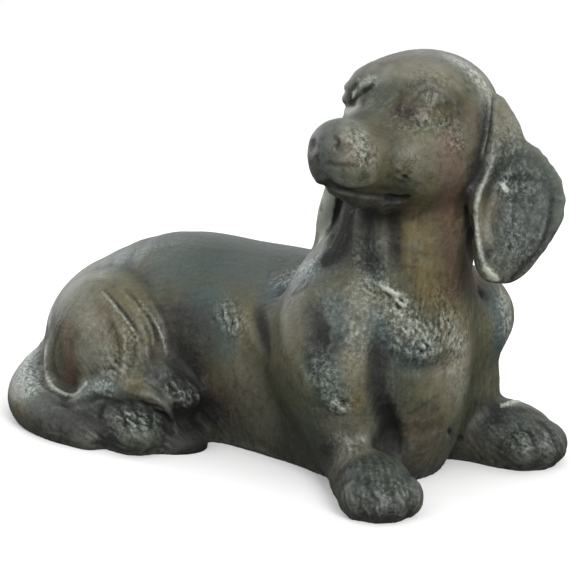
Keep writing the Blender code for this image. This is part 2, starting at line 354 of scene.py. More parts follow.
marks["chest"] = [
    (-2.8, 13, [(383, 332), (379, 352), (377, 372), (379, 392), (384, 412)]),
    (-3.4, 12, [(384, 405), (388, 420), (392, 436)]),
    (1.2, 3, [(381, 285), (388, 290), (397, 297), (405, 303)]),
    (0.9, 3, [(392, 312), (402, 317), (411, 323)]),
    (1.8, 13, [(404, 322), (416, 332), (428, 338)]),
    (-1.8, 10, [(396, 360), (416, 366), (440, 364), (466, 356)]),
    (1.6, 18, [(412, 396), (440, 398)]),
    (-1.2, 9, [(404, 426), (424, 430), (444, 420)]),
    (-1.8, 3.5, [(449, 430), (451, 434)]),
    (-1.2, 3.5, [(459, 437), (462, 440)]),
]
marks["neck"] = [
    (-1.4, 8, [(372, 205), (368, 225), (366, 250), (370, 275)]),
    (1.2, 7, [(360, 206), (358, 230), (360, 256)]),
    (1.2, 7, [(384, 206), (381, 232), (383, 262), (388, 284)]),
    (-1.3, 8, [(394, 214), (393, 240), (397, 266)]),
    (1.2, 10, [(410, 210), (412, 240), (418, 270)]),
    (-2.0, 8, [(474, 215), (470, 242), (474, 266)]),
    (-1.0, 7, [(480, 293), (485, 296)]),
]
marks["mouth"] = [
    (-0.7, 2.8, [(322, 183), (331, 188), (345, 191), (366, 194), (386, 196), (398, 196)]),
    (-2.6, 4.5, [(388, 197), (397, 199), (405, 197)]),
    (0.8, 4, [(396, 203), (404, 202)]),
    (-1.1, 2.6, [(405, 177)]),
]
marks["nose"] = [
    (-1.0, 2.8, [(335, 137), (338, 142), (336, 148)]),
    (0.7, 2.6, [(338, 135), (341, 139)]),
    (-0.8, 5, [(353, 124), (357, 136), (356, 150), (350, 163)]),
    (0.7, 6, [(360, 134), (363, 150)]),
    (-0.6, 3, [(326, 163), (344, 166), (362, 166)]),
    (0.5, 6, [(346, 134), (347, 150)]),
]
marks["eyes"] = [
    (-0.7, 2.6, [(415, 100), (421, 92), (430, 88), (439, 91), (446, 99)]),
    (-0.4, 2.6, [(416, 105), (425, 109), (436, 109), (445, 104)]),
    (0.5, 7, [(410, 80), (424, 74), (440, 76), (453, 87)]),
    (-0.6, 6, [(404, 114), (418, 119), (438, 119), (456, 116)]),
    (-0.8, 7, [(398, 108), (410, 112)]),
    (-1.4, 12, [(428, 97), (433, 98)]),
    (0.9, 8, [(443, 99), (446, 107)]),
    (0.8, 8, [(410, 111), (418, 113)]),
    (-0.8, 3, [(370, 88), (360, 94), (352, 102)]),
    (-0.8, 3, [(358, 82), (352, 92), (350, 101)]),
]
marks["ear"] = [
    (1.6, 3.6, [(490, 103), (488, 118), (486, 132), (481, 158)]),
    (-2.2, 4, [(494, 98), (493, 116), (491, 134), (487, 152)]),
    (1.5, 3.6, earRim + [(498, 279)]),
    (-2.2, 7, [(500, 170), (493, 184), (486, 206), (484, 226), (487, 246), (492, 260), (502, 268)]),
    (1.6, 5, [(495, 281), (512, 280), (528, 268), (543, 248)]),
    (-1.8, 20, [(512, 176), (506, 205), (500, 235)]),
    (1.2, 6, [(500, 118), (501, 136), (499, 156)]),
    (1.3, 3.5, [(503, 186), (507, 191)]),
    (-1.6, 9, [(488, 250), (494, 258)]),
    (-1.2, 4, [(534, 258), (524, 270), (511, 279)]),
    (-2.4, 10, [(524, 130), (532, 143), (545, 152)]),
    (0.8, 5, [(512, 196), (511, 214), (505, 230)]),
    (1.0, 9, [(536, 170), (544, 200), (536, 232)]),
    (0.8, 3, [(549, 196), (546, 222), (537, 246), (522, 262)]),
]
marks["paws"] = [
    *[(-0.7, 3.5, toe) for toe in nearToes],
    (-0.5, 3.5, [(352, 484), (356, 496), (362, 506)]),
    *[(-0.9, 4, toe) for toe in farToes],
    (-0.8, 4, [(506, 434), (516, 443), (521, 456)]),
    (1.5, 4, [(503, 405), (520, 401), (541, 405), (552, 418)]),
    (-1.0, 6, [(508, 410), (524, 410), (540, 414)]),
]

# Bunches of short tool strokes: middle, spread, the way they lie, how many, length, height and width.
tufts = [
    ((414, 336), (26, 20), (0.3, 1), 100, 6, 0.9, 2.2),
    ((452, 338), (18, 22), (-0.1, 1), 60, 6, 0.8, 2.2),
    ((395, 296), (14, 10), (0.8, 0.7), 14, 8, 0.9, 2.5),
    ((452, 312), (16, 10), (0.5, 0.9), 16, 6, 0.7, 2.5),
    ((338, 403), (12, 8), (0.6, 0.8), 14, 6, 0.9, 2.5),
    ((320, 378), (16, 18), (-0.2, 1), 24, 7, 0.6, 2.6),
    ((340, 330), (26, 26), (-0.4, 1), 30, 9, 0.5, 3.0),
    ((300, 282), (22, 12), (-0.7, 0.7), 18, 9, 0.5, 3.0),
    ((350, 448), (12, 16), (0.5, 0.8), 20, 7, 0.8, 2.5),
    ((383, 490), (28, 22), (0.3, 1), 70, 5, 0.5, 2.2),
    ((528, 436), (26, 16), (0.8, 0.5), 60, 5, 0.55, 2.2),
    ((134, 420), (24, 11), (0.7, 0.7), 44, 8, 1.0, 2.2),
    ((179, 392), (17, 12), (0.6, 0.8), 36, 5, 1.1, 2.4),
    ((98, 388), (10, 7), (0.8, 0.4), 8, 6, 0.6, 2.6),
    ((105, 330), (22, 30), (0.4, 0.9), 18, 12, 0.25, 2.8),
    ((116, 370), (16, 10), (0.8, 0.6), 18, 7, 0.6, 2.5),
    ((30, 374), (12, 14), (0.6, 0.9), 20, 5, 0.7, 2.5),
    ((228, 318), (12, 14), (0.2, 1), 16, 8, 0.7, 2.6),
    ((240, 380), (22, 40), (-0.2, 1), 16, 12, 0.25, 3.4),
    ((518, 205), (28, 46), (0.5, 0.8), 90, 3, 0.5, 2.4),
    ((510, 140), (10, 24), (0.1, 1), 16, 7, 0.5, 2.6),
    ((376, 255), (16, 22), (0, 1), 20, 8, 0.6, 2.6),
    ((436, 250), (22, 30), (0, 1), 14, 12, 0.3, 3.2),
    ((432, 112), (26, 12), (0.6, 0.6), 40, 4, 0.4, 2.3),
    ((454, 140), (8, 10), (0.6, 0.6), 16, 4, 0.5, 2.3),
    ((472, 78), (14, 16), (0.6, 0.8), 26, 6, 0.6, 2.5),
    ((362, 148), (7, 14), (0.3, 1), 22, 5, 0.7, 2.3),
    ((402, 176), (12, 9), (0.8, 0.4), 12, 4, 0.5, 2.3),
    ((400, 70), (30, 8), (0.6, 0.3), 20, 7, 0.3, 2.8),
    ((506, 320), (8, 34), (0.1, 1), 16, 10, 0.5, 2.8),
    ((-4, 84, 110), (16, 8, 34), (-0.1, 0.1, -1), 24, 10, 0.5, 3.0),
    ((-60, 60, 150), (22, 12, 14), (-1, 0.1, -0.3), 22, 10, 0.4, 3.0),
    ((-150, 84, 90), (40, 6, 30), (-1, 0, -0.2), 26, 12, 0.3, 3.2),
    ((-290, 78, 80), (30, 10, 28), (-0.5, 0, -0.9), 26, 11, 0.3, 3.0),
    ((-214, 60, 30), (18, 14, 8), (1, 0, -0.3), 16, 8, 0.6, 2.8),
    ((-60, -10, 200), (10, 20, 20), (-0.3, 0, -1), 24, 10, 0.5, 3.0),
    ((10, 30, 330), (22, 20, 8), (0.2, 0.9, -0.2), 22, 8, 0.4, 2.8),
    ((-40, -20, 290), (10, 24, 26), (-0.1, 0.6, -0.8), 22, 8, 0.4, 2.8),
    ((-370, -30, 40), (10, 20, 10), (-0.2, -1, 0), 18, 7, 0.5, 2.8),
    ((80, -10, 200), (10, 20, 34), (0.1, 0, -1), 30, 8, 0.5, 2.8),
]


strokes = {
    "leap": (3, 6),  # a line is cut where it leaps further than this many widths and units
    "ends": 0.25,  # how high a mark is at its ends
    "swell": 0.6,  # how fast it swells from there
    "margin": 0.02,
}


def unbroken(line, width):  # leaves out what lies far from the rest, as where a line runs off the edge
    if len(line) > 2:
        widths, units = strokes["leap"]
        step = np.linalg.norm(np.diff(line[:, :3], axis=0), axis=1)
        if step.max() > width * widths + units:
            cut = int(step.argmax()) + 1
            return line[:cut] if cut > len(line) / 2 else line[cut:]
    return line


def rub(cast):
    share = np.zeros(len(cast.points))
    rounds = 0
    for strength, width, path in rubbed:
        line = cast.line(path)
        if len(line):
            near, close, _ = cast.reach(line, width)
            share[near] = np.maximum(share[near], np.clip(close * rubbing["spread"], 0, 1) * strength)
            rounds = max(rounds, strength)
    inside = np.nonzero(share > 0)[0]
    place = np.full(len(share), -1)
    place[inside] = np.arange(len(inside))
    one, two = place[cast.ends]
    kept = (one >= 0) & (two >= 0)
    one, two = one[kept], two[kept]
    size = len(inside)
    count = np.maximum(np.bincount(one, minlength=size) + np.bincount(two, minlength=size), 1)
    points, share = cast.points[inside], (share[inside] / rounds)[:, None]
    for _ in range(rounds * rubbing["rounds"]):
        middles = neighbourSums(one, two, points.T, size) / count
        points = points + (middles - points.T).T * rubbing["pull"] * share
    cast.points[inside] = points
    writePoints(cast.mesh, cast.points)
    cast.read()
    cast.plant()


def stroke(cast, rise, height, width, path):
    line = unbroken(cast.line(path), width)
    if len(line):
        near, close, along = cast.reach(line, width)
        taper = 1
        if len(path) > 1:
            ends, margin = strokes["ends"], strokes["margin"]
            swell = np.sin(math.pi * np.clip(along, margin, 1 - margin)) ** strokes["swell"]
            taper = ends + (1 - ends) * swell
        rise[near] += height * close * taper


tool = {
    "seed": 11,
    "scatter": 0.5,  # as a share of the bunch's spread
    "swerve": 0.22,
    "bend": 0.12,
    "length": (0.6, 1.3),
    "height": (0.5, 1.2),
    "raised": 0.65,  # the share of strokes that stand up, while the others are cut in
    "cut": -0.9,
}


def carve(cast):
    rise = np.zeros(len(cast.points))
    for group in marks.values():
        for height, width, path in group:
            stroke(cast, rise, height, width, path)
    chance = np.random.default_rng(tool["seed"])
    for centre, spread, way, count, length, height, width in tufts:
        centre, spread, way = np.array(centre, float), np.array(spread, float), np.array(way, float)
        way /= np.linalg.norm(way)
        for _ in range(count):
            start = centre + chance.normal(0, tool["scatter"], len(centre)) * spread
            turn = way + chance.normal(0, tool["swerve"], len(centre))
            bend = chance.normal(0, tool["bend"], len(centre))
            reach = length * chance.uniform(*tool["length"])
            path = [start, start + turn * reach * 0.5 + bend * reach, start + turn * reach]
            sign = 1 if chance.random() < tool["raised"] else tool["cut"]
            stroke(cast, rise, sign * height * chance.uniform(*tool["height"]), width, path)
    return rise


coat = {
    "seed": 7,
    "height": 0.3,
    "most": 2.5,  # the highest hair, as a multiple of a common one
    "steps": 3,
    "stride": 2.0,
    "blur": 3,
    "even": 16,  # rounds of smoothing that tell a streak from the form
    "reach": 200,  # how softly one place of the list below blends into the next
    "fade": 1.5,
}

# Where the hair points: a place, the way it lies there, and how strongly it is tooled.
hair = [
    ((-300, -90, 120), (-0.6, 0, -0.8), 0.1),
    ((-300, 60, 120), (-0.6, 0, -0.8), 0.15),
    ((-340, -14, 90), (-0.7, 0, -0.7), 0.1),
    ((-200, -70, 80), (-1, 0, -0.25), 0.1),
    ((-200, 80, 80), (-1, 0, -0.25), 0.15),
    ((-180, 0, 160), (-1, 0, 0), 0.08),
    ((-100, -70, 100), (-0.9, 0, -0.5), 0.12),
    ((-90, 70, 100), (-0.9, 0, -0.5), 0.2),
    ((-40, -85, 130), (-0.4, -0.2, -1), 0.2),
    ((-40, -85, 50), (0, -0.3, -1), 0.15),
    ((-9, 80, 110), (-0.2, 0.2, -1), 0.3),
    ((40, -40, 150), (0.3, -0.1, -1), 0.5),
    ((45, 20, 140), (0.2, 0.1, -1), 0.5),
    ((35, -20, 70), (0.1, -0.1, -1), 0.12),
    ((20, -100, 40), (0.6, -0.7, -0.5), 0.5),
    ((60, 62, 30), (1, 0, -0.4), 0.5),
    ((0, -60, 220), (0, 0, -1), 0.12),
    ((50, -20, 210), (0, 0, -1), 0.1),
    ((-40, 0, 200), (-0.5, 0, -1), 0.2),
    ((7, -150, 260), (0.3, 1, 0.2), 0.08),
    ((7, -120, 290), (0, 1, 0.3), 0.08),
    ((7, -60, 335), (0, 1, 0.1), 0.15),
    ((7, 30, 300), (0, 0.6, -0.8), 0.2),
    ((60, -20, 270), (0.1, 0.5, -0.6), 0.1),
    ((75, -20, 200), (0.1, -0.1, -1), 0.08),
    ((-60, -20, 200), (0, -0.1, -1), 0.3),
    ((-370, -30, 30), (-0.3, -1, 0), 0.2),
    ((-330, -105, 20), (1, -0.3, 0), 0.15),
    ((-225, -105, 30), (1, -0.1, -0.2), 0.5),
    ((-214, -80, 40), (1, 0, -0.2), 0.5),
]


def combed(cast):
    places = np.array([place for place, _, _ in hair], float)
    ways = np.array([way for _, way, _ in hair], float)
    ways /= np.linalg.norm(ways, axis=1)[:, None]
    tooled = np.array([strength for _, _, strength in hair])
    square = (cast.points**2).sum(1)[:, None] + (places**2).sum(1) - 2 * cast.points @ places.T
    weight = 1 / (square + coat["reach"]) ** coat["fade"]
    weight /= weight.sum(1)[:, None]
    flow = weight @ ways
    flow -= cast.normals * (flow * cast.normals).sum(1)[:, None]
    flow /= np.linalg.norm(flow, axis=1)[:, None] + 1e-6
    tree = kdtree.KDTree(len(cast.points))
    for k, place in enumerate(cast.points):
        tree.insert(place, k)
    tree.balance()
    stride = coat["stride"]
    ahead = np.array([tree.find(place)[1] for place in cast.points + flow * stride])
    behind = np.array([tree.find(place)[1] for place in cast.points - flow * stride])
    noise = np.random.default_rng(coat["seed"]).normal(size=len(cast.points))
    noise = cast.blurred(noise, coat["blur"])
    streak, front, rear = noise.copy(), np.arange(len(noise)), np.arange(len(noise))
    for _ in range(coat["steps"]):
        front, rear = ahead[front], behind[rear]
        streak += noise[front] + noise[rear]
    streak = cast.blurred(streak, 1)
    streak -= cast.blurred(streak, coat["even"])
    streak /= streak.std()
    return np.clip(streak, -coat["most"], coat["most"]) * coat["height"] * (weight @ tooled)


# Where no hair is combed in: ahead of the skull's middle, to its left, above it, and the radius.
bare = {
    "nose": (126, 0, -10, 18),
    "left eye": (46, 29, 15, 14),
    "right eye": (46, -29, 15, 14),
}
bareEdge = 5


def haired(cast):  # 0 on the bare places, 1 elsewhere
    share = np.ones(len(cast.points))
    skull = np.array(figure["skull"])
    for ahead, side, height, radius in bare.values():
        place = skull + (side, -ahead, height)
        gap = np.linalg.norm(cast.points - place, axis=1)
        share = np.minimum(share, np.clip((gap - radius) / bareEdge, 0, 1))
    return share


foot = {
    "fade": 4,  # the carving grows to its full height over this much above the ground
    "flat": 0.9,  # what is lower and faces down is pressed flat onto the ground
    "down": -0.6,
}


def carved(cast):
    rise = carve(cast) + combed(cast) * haired(cast)
    lift = np.clip(cast.points[:, 2] / foot["fade"], 0, 1)
    points = cast.points + cast.normals * (rise * lift)[:, None]
    low, high = [np.array(corner) / unit + middle for corner in cadBox]
    points = np.clip(points, low, high)
    points[(points[:, 2] < foot["flat"]) & (cast.normals[:, 2] < foot["down"]), 2] = 0
    writePoints(cast.mesh, points)
    mesh = reworked(cast.mesh, "DECIMATE", ratio=surface["triangles"] / len(readTriangles(cast.mesh)))
    points = np.clip(readPoints(mesh), low, high)
    writePoints(mesh, points)
    return mesh


# The patina, with painted highlights and painted shade among its patches: strength, width and line of each
# patch, in pixels or units as above.
patches = {}
patches["ochre"] = [
    (0.5, 44, [(95, 320), (108, 345)]),
    (0.7, 26, [(110, 285), (136, 312), (150, 340)]),
    (0.7, 14, [(112, 372), (134, 384)]),
    (0.8, 12, [(143, 393), (160, 402), (176, 426)]),
    (0.8, 20, [(424, 150), (425, 168), (424, 190)]),
    (0.9, 26, [(440, 372), (456, 388), (450, 402)]),
    (1.0, 22, [(455, 316), (462, 340), (464, 356)]),
    (0.9, 22, [(412, 205), (416, 235), (424, 270), (436, 290)]),
    (0.9, 13, [(356, 360), (357, 395), (354, 430)]),
    (0.5, 22, [(246, 320), (250, 352)]),
    (0.3, 22, [(288, 330), (284, 358)]),
    (0.9, 22, [(416, 66), (432, 70), (444, 78)]),
    (0.9, 18, [(420, 98), (442, 102)]),
    (0.6, 22, [(384, 128), (380, 150), (388, 178)]),
    (0.35, 30, [(245, 380), (262, 425)]),
    (0.5, 18, [(14, 396), (22, 412)]),
    (0.5, 22, [(46, 418), (90, 430)]),
    (0.4, 8, [(503, 112), (503, 157)]),
    (0.8, 16, [(492, 196), (490, 232)]),
    (0.6, 56, [(-300, 140, 90), (-280, 140, 60)]),
    (0.5, 46, [(-90, 140, 120), (-80, 140, 60)]),
    (0.5, 30, [(0, 120, 300), (0, 120, 260)]),
    (0.5, 30, [(-400, 0, 90), (-400, 20, 60)]),
]
patches["russet"] = [
    (1.0, 20, [(448, 150), (456, 180), (450, 212)]),
    (0.8, 18, [(452, 225), (450, 262), (455, 285)]),
    (1.0, 15, [(66, 330), (69, 350), (70, 376)]),
    (0.5, 16, [(100, 318), (110, 328)]),
    (0.8, 12, [(400, 108), (412, 113)]),
    (0.9, 14, [(474, 225), (468, 264), (478, 282)]),
    (0.5, 24, [(410, 428), (428, 440)]),
    (0.9, 17, [(340, 434), (346, 462)]),
    (0.7, 11, [(344, 142), (348, 158)]),
    (0.5, 12, [(380, 68), (396, 64)]),
    (0.5, 20, [(210, 385), (222, 410)]),
    (0.4, 24, [(470, 120), (475, 150)]),
]
patches["blue"] = [
    (0.7, 30, [(110, 262), (150, 243), (200, 238), (250, 242), (300, 250)]),
    (0.6, 34, [(170, 262), (230, 262), (290, 264)]),
    (0.7, 26, [(205, 300), (222, 335)]),
    (0.4, 30, [(540, 175), (545, 205), (532, 240)]),
    (0.9, 20, [(520, 118), (528, 140)]),
    (0.8, 14, [(376, 322), (382, 338)]),
    (1.0, 22, [(276, 288), (296, 274), (322, 262)]),
    (0.7, 16, [(330, 306), (336, 330)]),
    (0.6, 20, [(320, 366), (332, 392)]),
    (0.9, 16, [(30, 352), (24, 376), (30, 392)]),
    (0.9, 12, [(88, 390), (98, 384), (110, 390)]),
    (0.5, 14, [(372, 250), (376, 275)]),
    (0.8, 13, [(490, 296), (503, 320), (500, 350)]),
    (0.6, 26, [(400, 350), (420, 356)]),
    (0.6, 60, [(-80, 20, 260), (-180, 20, 260), (-300, 10, 240)]),
    (0.6, 30, [(-110, -20, 240), (-110, -20, 200)]),
    (0.6, 50, [(-170, 140, 130), (-240, 140, 120)]),
    (0.5, 34, [(-30, 130, 120), (-20, 130, 80)]),
]
patches["teal"] = [
    (0.4, 16, [(92, 388), (106, 394)]),
    (0.9, 28, [(40, 410), (62, 416), (90, 420), (112, 436)]),
    (1.0, 28, [(112, 412), (150, 424)]),
    (1.0, 26, [(170, 385), (192, 400)]),
    (0.9, 22, [(186, 412), (188, 436)]),
    (1.0, 34, [(366, 474), (384, 500), (402, 484)]),
    (1.0, 32, [(500, 426), (530, 440), (550, 436)]),
    (0.8, 10, [(372, 78), (362, 84), (355, 92)]),
    # Painted shade on the nose's left side.
    (0.9, 22, [(318, 132), (320, 155), (324, 172)]),
    (0.9, 18, [(322, 344), (318, 362)]),
    (0.4, 18, [(418, 94), (430, 94), (442, 96)]),
    (1.0, 34, [(506, 172), (518, 196), (510, 240)]),
    (0.6, 26, [(380, 352), (384, 396)]),
    (0.7, 16, [(355, 218), (352, 250)]),
    (0.5, 24, [(330, 415), (322, 440)]),
]
# Darker patina, with painted shade at the far ear's shadow on the neck, the nose's left side, the brow over
# the near eye and the hind mound.
patches["dark"] = [
    (1.0, 34, [(186, 330), (190, 370), (204, 400)]),
    (0.8, 26, [(172, 318), (186, 345)]),
    (1.0, 20, [(345, 205), (372, 212), (398, 210)]),
    (0.9, 16, [(368, 225), (370, 262)]),
    # Painted shadow of the far ear on the neck.
    (1.0, 13, [(345, 204), (347, 228), (338, 256)]),
    (0.8, 10, [(394, 222), (395, 262)]),
    (1.0, 15, [(386, 405), (390, 425), (392, 448)]),
    (0.9, 13, [(380, 352), (378, 380), (382, 404)]),
    (0.9, 9, [(260, 311), (264, 328), (270, 348)]),
    (0.9, 15, [(314, 312), (320, 334), (322, 352)]),
    (0.8, 10, [(148, 352), (152, 372), (160, 378)]),
    (0.6, 12, [(172, 330), (176, 356)]),
    (1.0, 11, [(486, 112), (482, 140), (474, 170), (468, 194)]),
    (0.8, 12, [(470, 215), (476, 262)]),
    (0.8, 10, [(494, 408), (500, 424)]),
    (0.7, 16, [(335, 452), (345, 472)]),
    (0.4, 12, [(404, 109), (412, 112)]),
    (0.7, 8, [(480, 290), (484, 297)]),
    (0.6, 12, [(540, 260), (520, 276)]),
    (0.3, 30, [(230, 400), (290, 440)]),
    # Painted shadow over the hind mound under the belly.
    (1.0, 28, [(184, 416), (190, 442)]),
    (1.0, 5, [(387, 197), (397, 198), (406, 196)]),
    (0.7, 4, lips),
    (0.6, 12, [(548, 190), (546, 225), (530, 258), (508, 280)]),
    # Painted shade on the nose's left side.
    (0.8, 14, [(316, 140), (317, 160)]),
    (0.4, 4, [(416, 99), (422, 91), (430, 87), (439, 90), (446, 98)]),
    (0.75, 24, [(50, 412), (96, 424)]),
    (0.25, 40, [(420, 380), (446, 404)]),
    (0.4, 28, [(376, 142), (398, 152), (424, 160)]),
    # Painted shadow of the brow over the near eye.
    (0.6, 11, [(416, 89), (425, 85), (434, 86)]),
    (0.6, 12, [(428, 98), (437, 99)]),
    (0.5, 7, [(332, 195), (350, 200), (372, 203), (392, 204)]),
    # Painted shadow of the far ear on the neck.
    (0.8, 18, [(348, 222), (334, 248)]),
    (0.3, 22, [(366, 172), (392, 180)]),
    (0.3, 40, [(366, 480), (402, 492)]),
    (0.25, 40, [(510, 432), (550, 442)]),
    (0.6, 40, [(-190, 140, 50), (-130, 140, 40)]),
    (0.5, 30, [(-20, 120, 200), (-50, 120, 190)]),
]
# Black lines in the grooves, with painted shadow at the far ear's shadow on the neck and over the hind
# mound.
patches["black"] = [
    (1.0, 5, [(387, 196), (396, 198), (407, 196)]),
    (0.4, 3, lips),
    (0.9, 3.5, [(405, 177)]),
    (0.4, 3, [(399, 171)]),
    (0.4, 3, [(400, 182)]),
    (1.0, 4, [(357, 82), (351, 92), (349, 103)]),
    (0.9, 3.6, [(374, 84), (367, 89), (359, 95), (352, 103)]),
    (0.25, 3, [(414, 101), (421, 92), (431, 88), (441, 92), (447, 100)]),
    (0.5, 5, [(400, 111), (410, 114)]),
    # Painted shadow over the hind mound under the belly.
    (0.85, 28, [(182, 416), (196, 444)]),
    (0.7, 3, [(335, 137), (338, 142), (336, 148)]),
    # Painted shadow of the far ear on the neck, in three strokes.
    (0.9, 10, [(341, 202), (337, 222), (332, 238)]),
    (0.8, 16, [(350, 212), (344, 234), (332, 254)]),
    (1.3, 13, [(348, 208), (346, 226), (340, 246), (328, 258)]),
    (0.5, 6, [(480, 292), (486, 297)]),
    (1.0, 6, [(388, 408), (392, 424), (393, 440)]),
    (0.8, 4, [(449, 430), (451, 434)]),
    (0.7, 4, [(459, 437), (462, 440)]),
    (0.3, 9, [(259, 315), (264, 331), (269, 350)]),
    (0.7, 4, [(101, 416), (106, 406), (118, 401), (134, 399), (150, 404), (162, 414), (168, 428)]),
    (0.7, 4, [(160, 386), (170, 378), (184, 377), (196, 386), (201, 398)]),
    *[(0.6, 4, toe) for toe in farHindToes],
    *[(0.5, 3.5, toe) for toe in hindToes],
    (0.7, 4, [(551, 196), (549, 222), (540, 246), (524, 264), (510, 281)]),
    (0.6, 4, [(486, 98), (487, 116), (485, 134), (478, 160)]),
    (0.4, 5, [(106, 291), (122, 310), (133, 325), (142, 342)]),
    (0.4, 4, [(128, 291), (142, 306), (153, 322), (158, 340)]),
    (0.6, 5, [(500, 424), (494, 408)]),
    (0.4, 7, [(508, 411), (524, 411), (540, 415)]),
    (0.8, 10, [(390, 434), (396, 450)]),
    *[(0.5, 4, toe) for toe in nearToes],
    *[(0.6, 4, toe) for toe in farToes],
]
# Painted highlights in a smooth pale grey on lit tops and edges: the muzzle's bridge, the crown, the
# shoulder, the haunch's rim, the tail's lip and the far ear's edge.
patches["highlight"] = [
    (1.0, 8, [(347, 111), (356, 109), (364, 107)]),
    (1.0, 16, [(452, 58), (470, 68), (482, 82), (489, 98)]),
    (0.5, 10, [(380, 60), (410, 54), (440, 54)]),
    (1.0, 17, [(284, 282), (300, 270), (320, 262)]),
    (0.5, 13, [(361, 285), (359, 320), (357, 350)]),
    (0.6, 6, [(58, 292), (50, 315), (47, 345)]),
    (0.7, 6, [(47, 345), (46, 370), (56, 389), (74, 395), (86, 384)]),
    (1.0, 20, [(32, 350), (24, 368), (20, 384)]),
    (0.8, 26, [(92, 360), (112, 372)]),
    (1.0, 5, [(141, 394), (152, 395), (164, 404), (173, 416), (178, 428)]),
    (1.0, 7, [(328, 192), (326, 208), (322, 227), (319, 243)]),
    (0.9, 9, [(372, 72), (380, 76), (388, 70)]),
    (0.7, 5, [(376, 78), (366, 82), (359, 88)]),
    (0.9, 3, [(358, 92), (354, 98)]),
    (0.4, 30, [(244, 372), (262, 416)]),
    (0.5, 16, [(404, 70), (430, 66)]),
    (0.5, 4, earRim),
    (0.5, 16, [(410, 326), (430, 340)]),
    (0.7, 20, [(455, 335), (464, 356)]),
    (0.5, 24, [(448, 372), (460, 396)]),
    (0.8, 22, [(344, 428), (356, 452)]),
    (0.5, 26, [(330, 310), (340, 345), (338, 370)]),
    (0.4, 26, [(290, 300), (296, 330)]),
    (0.6, 10, [(508, 300), (509, 340)]),
    (0.5, 14, [(508, 112), (514, 134)]),
    (0.5, 12, [(346, 430), (352, 446)]),
    (0.4, 20, [(84, 306), (98, 330), (100, 352)]),
    (0.5, 10, [(345, 128), (346, 150)]),
    (0.5, 34, [(-60, 130, 150), (-90, 130, 170)]),
    (0.5, 26, [(-90, 30, 340), (-60, 90, 340)]),
    (0.5, 40, [(-300, 120, 200), (-350, 60, 180)]),
]
patches["grain"] = [
    (0.9, 17, [(402, 124), (422, 120), (446, 125), (456, 142)]),
    (0.4, 18, [(418, 92), (430, 94), (444, 98)]),
    (0.5, 12, [(422, 76), (448, 82)]),
    (0.7, 30, [(512, 140), (524, 190), (515, 245)]),
    (0.8, 16, [(472, 72), (486, 92)]),
    (0.8, 22, [(366, 258), (380, 288)]),
    (0.7, 22, [(290, 276), (318, 268), (332, 300)]),
    (0.6, 30, [(330, 360), (328, 395)]),
    (0.9, 30, [(400, 318), (430, 342), (456, 336)]),
    (0.25, 26, [(345, 445), (370, 480), (400, 500)]),
    (0.3, 28, [(508, 432), (550, 440)]),
    (0.9, 18, [(24, 368), (34, 388)]),
    (0.6, 22, [(112, 372), (130, 350), (140, 320)]),
    (0.5, 24, [(120, 420), (150, 418)]),
    (0.5, 18, [(176, 390), (190, 398)]),
    (0.9, 14, [(356, 140), (366, 156)]),
    (0.4, 12, [(398, 172), (412, 176)]),
    (0.7, 18, [(226, 316), (236, 326)]),
    (0.6, 26, [(440, 300), (460, 318)]),
    (0.6, 14, [(500, 310), (504, 345)]),
    (0.6, 30, [(20, 0, 332), (-30, -20, 300)]),
    (0.5, 60, [(-60, 60, 110), (-150, 84, 90), (-280, 70, 80)]),
    (0.7, 30, [(80, -10, 240), (80, -10, 190)]),
]
